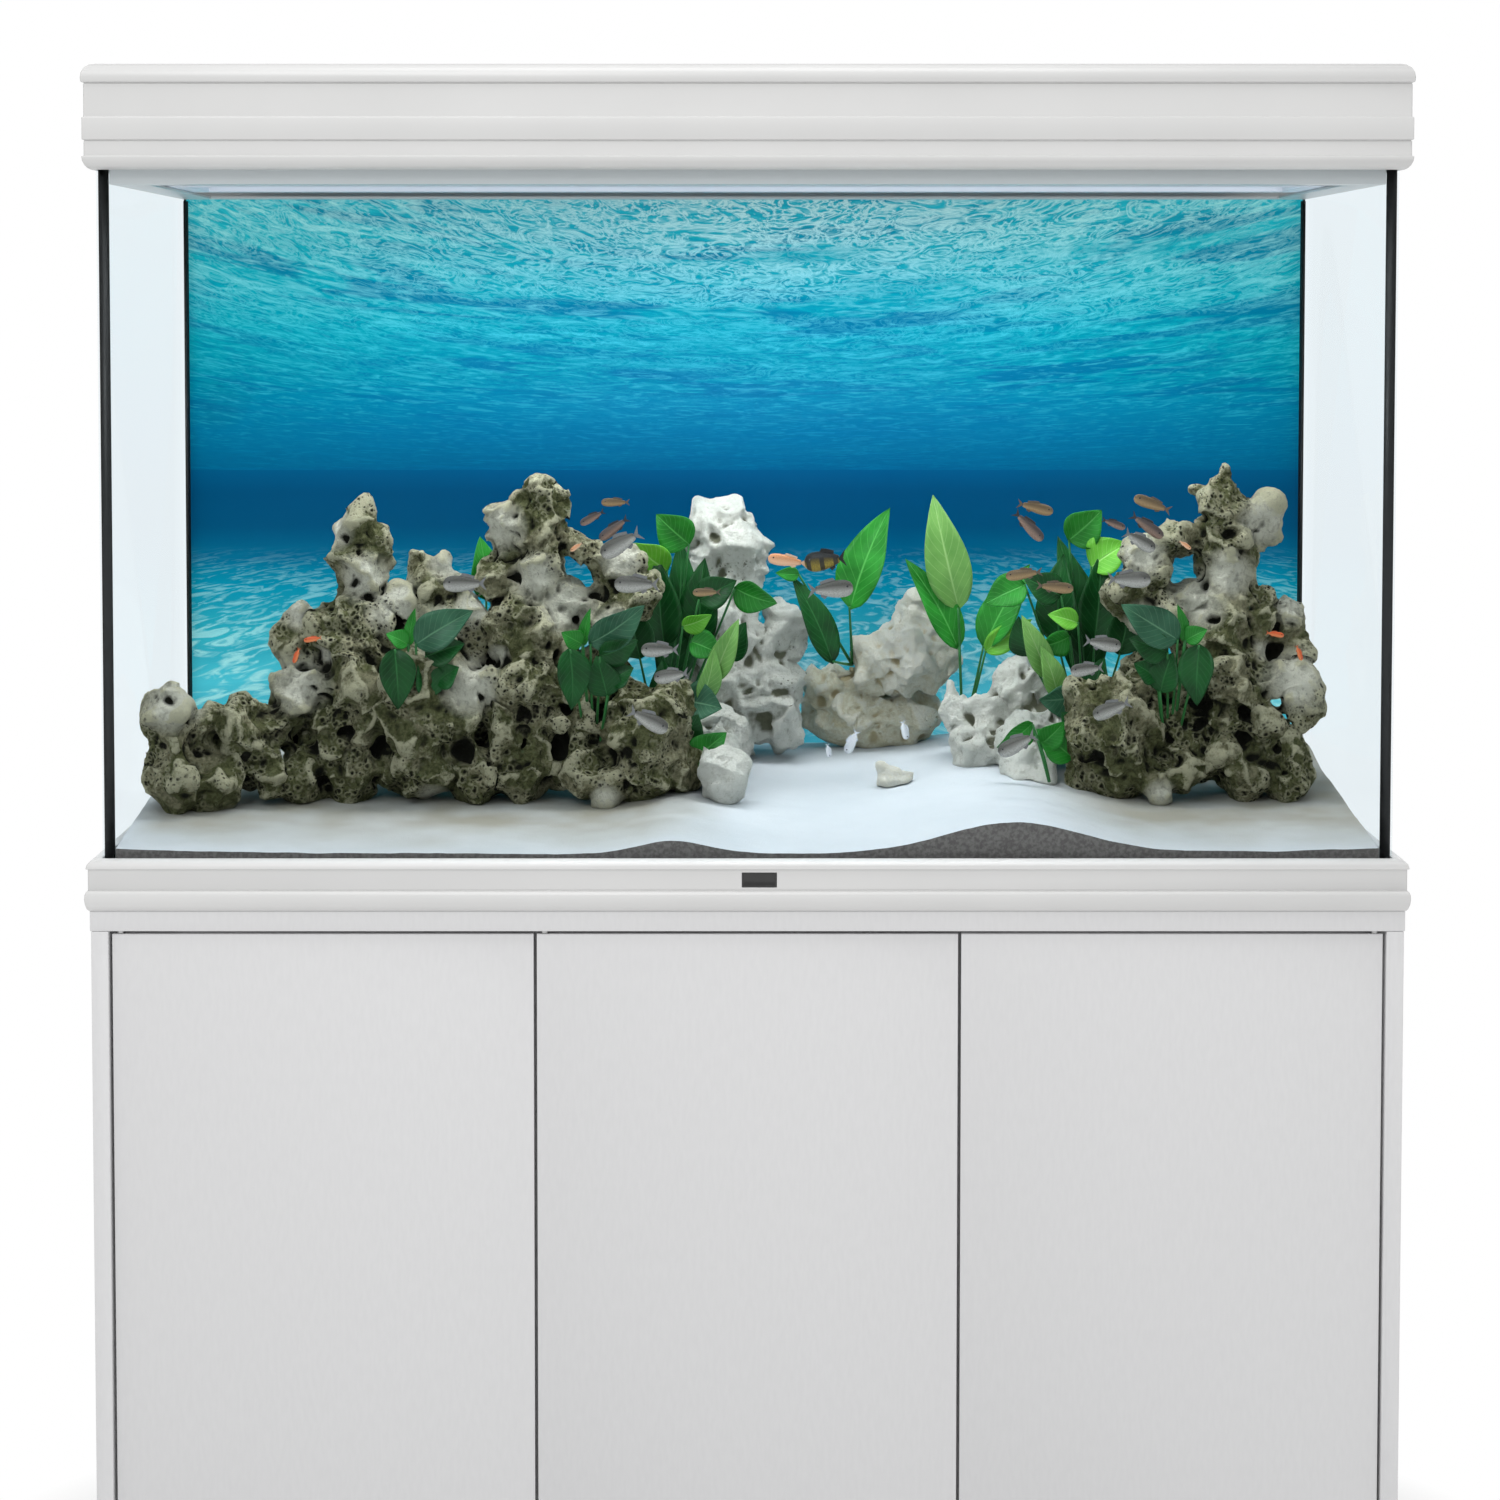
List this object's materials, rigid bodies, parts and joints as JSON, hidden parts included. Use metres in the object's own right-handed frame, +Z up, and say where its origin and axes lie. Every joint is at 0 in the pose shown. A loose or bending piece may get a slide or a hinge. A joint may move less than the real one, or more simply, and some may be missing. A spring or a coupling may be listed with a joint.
{
  "type": "aquarium on cabinet stand",
  "caption": "Rectangular glass aquarium with a planted rock scape, a ribbed base frame and lidded hood, on a matching cabinet with flush push-to-open doors.",
  "frame": {"origin": "centre of the cabinet's footprint, on the floor", "axes": "+X to the right seen from the front, front towards -Y, +Z up"},
  "size_m": [1.2304, 0.5304, 1.563],
  "materials": {
    "cabinet_board": "light grey satin laminate",
    "trim": "light grey satin paint on ribbed extrusions",
    "lid_plastic": "fine-grained moulded plastic",
    "lamp_shell": "satin",
    "lamp_diffuser": "frosted",
    "glass": "clear float glass with a faint green edge",
    "silicone": "smooth black bead",
    "steel": "drawn rod",
    "fitting_plastic": "moulded",
    "display_black": "glossy dark window, unlit",
    "backdrop_print": "printed film of open blue water",
    "sand": "fine pale sand",
    "mossy_rock": "pitted limestone with moss and pale crests",
    "pale_rock": "pitted pale limestone",
    "leaf": "broad veined leaves with a soft gloss"
  },
  "bodies": {
    "aquarium": {"backdrop_film": "backdrop_print", "base_rail_back": "trim", "base_rail_front": "trim", "base_rail_left": "trim", "base_rail_right": "trim", "cabinet_back": "cabinet_board", "cabinet_bottom": "cabinet_board", "cabinet_partition_left": "cabinet_board", "cabinet_partition_right": "cabinet_board", "cabinet_side_left": "cabinet_board", "cabinet_side_right": "cabinet_board", "cabinet_top": "cabinet_board", "glass_back": "glass", "glass_bottom": "glass", "glass_front": "glass", "glass_left": "glass", "glass_right": "glass", "hood_centre_bar": "trim", "hood_deck": "lid_plastic", "hood_rail_back": "trim", "hood_rail_front": "trim", "hood_rail_left": "trim", "hood_rail_right": "trim", "lamp_housing": "lamp_shell", "lamp_lens": "lamp_diffuser", "latch_left": "fitting_plastic", "latch_middle": "fitting_plastic", "latch_right": "fitting_plastic", "lid_hinge_rod": "steel", "pivot_bush_left": "fitting_plastic", "pivot_bush_middle": "fitting_plastic", "pivot_bush_right": "fitting_plastic", "plant_bright": "leaf", "plant_centre": "leaf", "plant_middle": "leaf", "plant_right": "leaf", "plinth": "cabinet_board", "rock_pile_left": "mossy_rock", "rock_pile_right": "mossy_rock", "rock_right": "pale_rock", "rock_slab": "pale_rock", "rock_tall": "pale_rock", "sand_bed": "sand", "silicone_joints": "silicone", "stone_small": "pale_rock", "thermometer_display": "display_black"},
    "door_left": {"door_left": "cabinet_board", "pivot_pin_left_top": "steel", "pivot_pin_left_bottom": "steel"},
    "plunger_left": {"plunger_left": "fitting_plastic"},
    "door_middle": {"door_middle": "cabinet_board", "pivot_pin_middle_top": "steel", "pivot_pin_middle_bottom": "steel"},
    "plunger_middle": {"plunger_middle": "fitting_plastic"},
    "door_right": {"door_right": "cabinet_board", "pivot_pin_right_top": "steel", "pivot_pin_right_bottom": "steel"},
    "plunger_right": {"plunger_right": "fitting_plastic"},
    "lid_left": {"lid_left": "lid_plastic"},
    "lid_right": {"lid_right": "lid_plastic"}
  },
  "joints": [
    {"name": "door_left_swing", "type": "hinge", "parent": "aquarium", "child": "door_left", "pos_m": [-0.584, -0.25, 0.43], "axis": [0, 0, -1], "range_deg": [0, 100]},
    {"name": "plunger_left_push", "type": "slide", "parent": "aquarium", "child": "plunger_left", "axis": [0, -1, 0], "range_m": [0, 0.014]},
    {"name": "door_middle_swing", "type": "hinge", "parent": "aquarium", "child": "door_middle", "pos_m": [-0.189, -0.25, 0.43], "axis": [0, 0, -1], "range_deg": [0, 100]},
    {"name": "plunger_middle_push", "type": "slide", "parent": "aquarium", "child": "plunger_middle", "axis": [0, -1, 0], "range_m": [0, 0.014]},
    {"name": "door_right_swing", "type": "hinge", "parent": "aquarium", "child": "door_right", "pos_m": [0.584, -0.25, 0.43], "axis": [0, 0, 1], "range_deg": [0, 100]},
    {"name": "plunger_right_push", "type": "slide", "parent": "aquarium", "child": "plunger_right", "axis": [0, -1, 0], "range_m": [0, 0.014]},
    {"name": "lid_left_lift", "type": "hinge", "parent": "aquarium", "child": "lid_left", "pos_m": [-0.3, 0.144, 1.5553], "axis": [-1, 0, 0], "range_deg": [0, 100]},
    {"name": "lid_right_lift", "type": "hinge", "parent": "aquarium", "child": "lid_right", "pos_m": [0.3, 0.144, 1.5553], "axis": [-1, 0, 0], "range_deg": [0, 100]}
  ],
  "couplings": [
    {"joint": "plunger_left_push", "follows": "door_left_swing", "m_per_rad": 0.008},
    {"joint": "plunger_middle_push", "follows": "door_middle_swing", "m_per_rad": 0.008},
    {"joint": "plunger_right_push", "follows": "door_right_swing", "m_per_rad": 0.008}
  ]
}
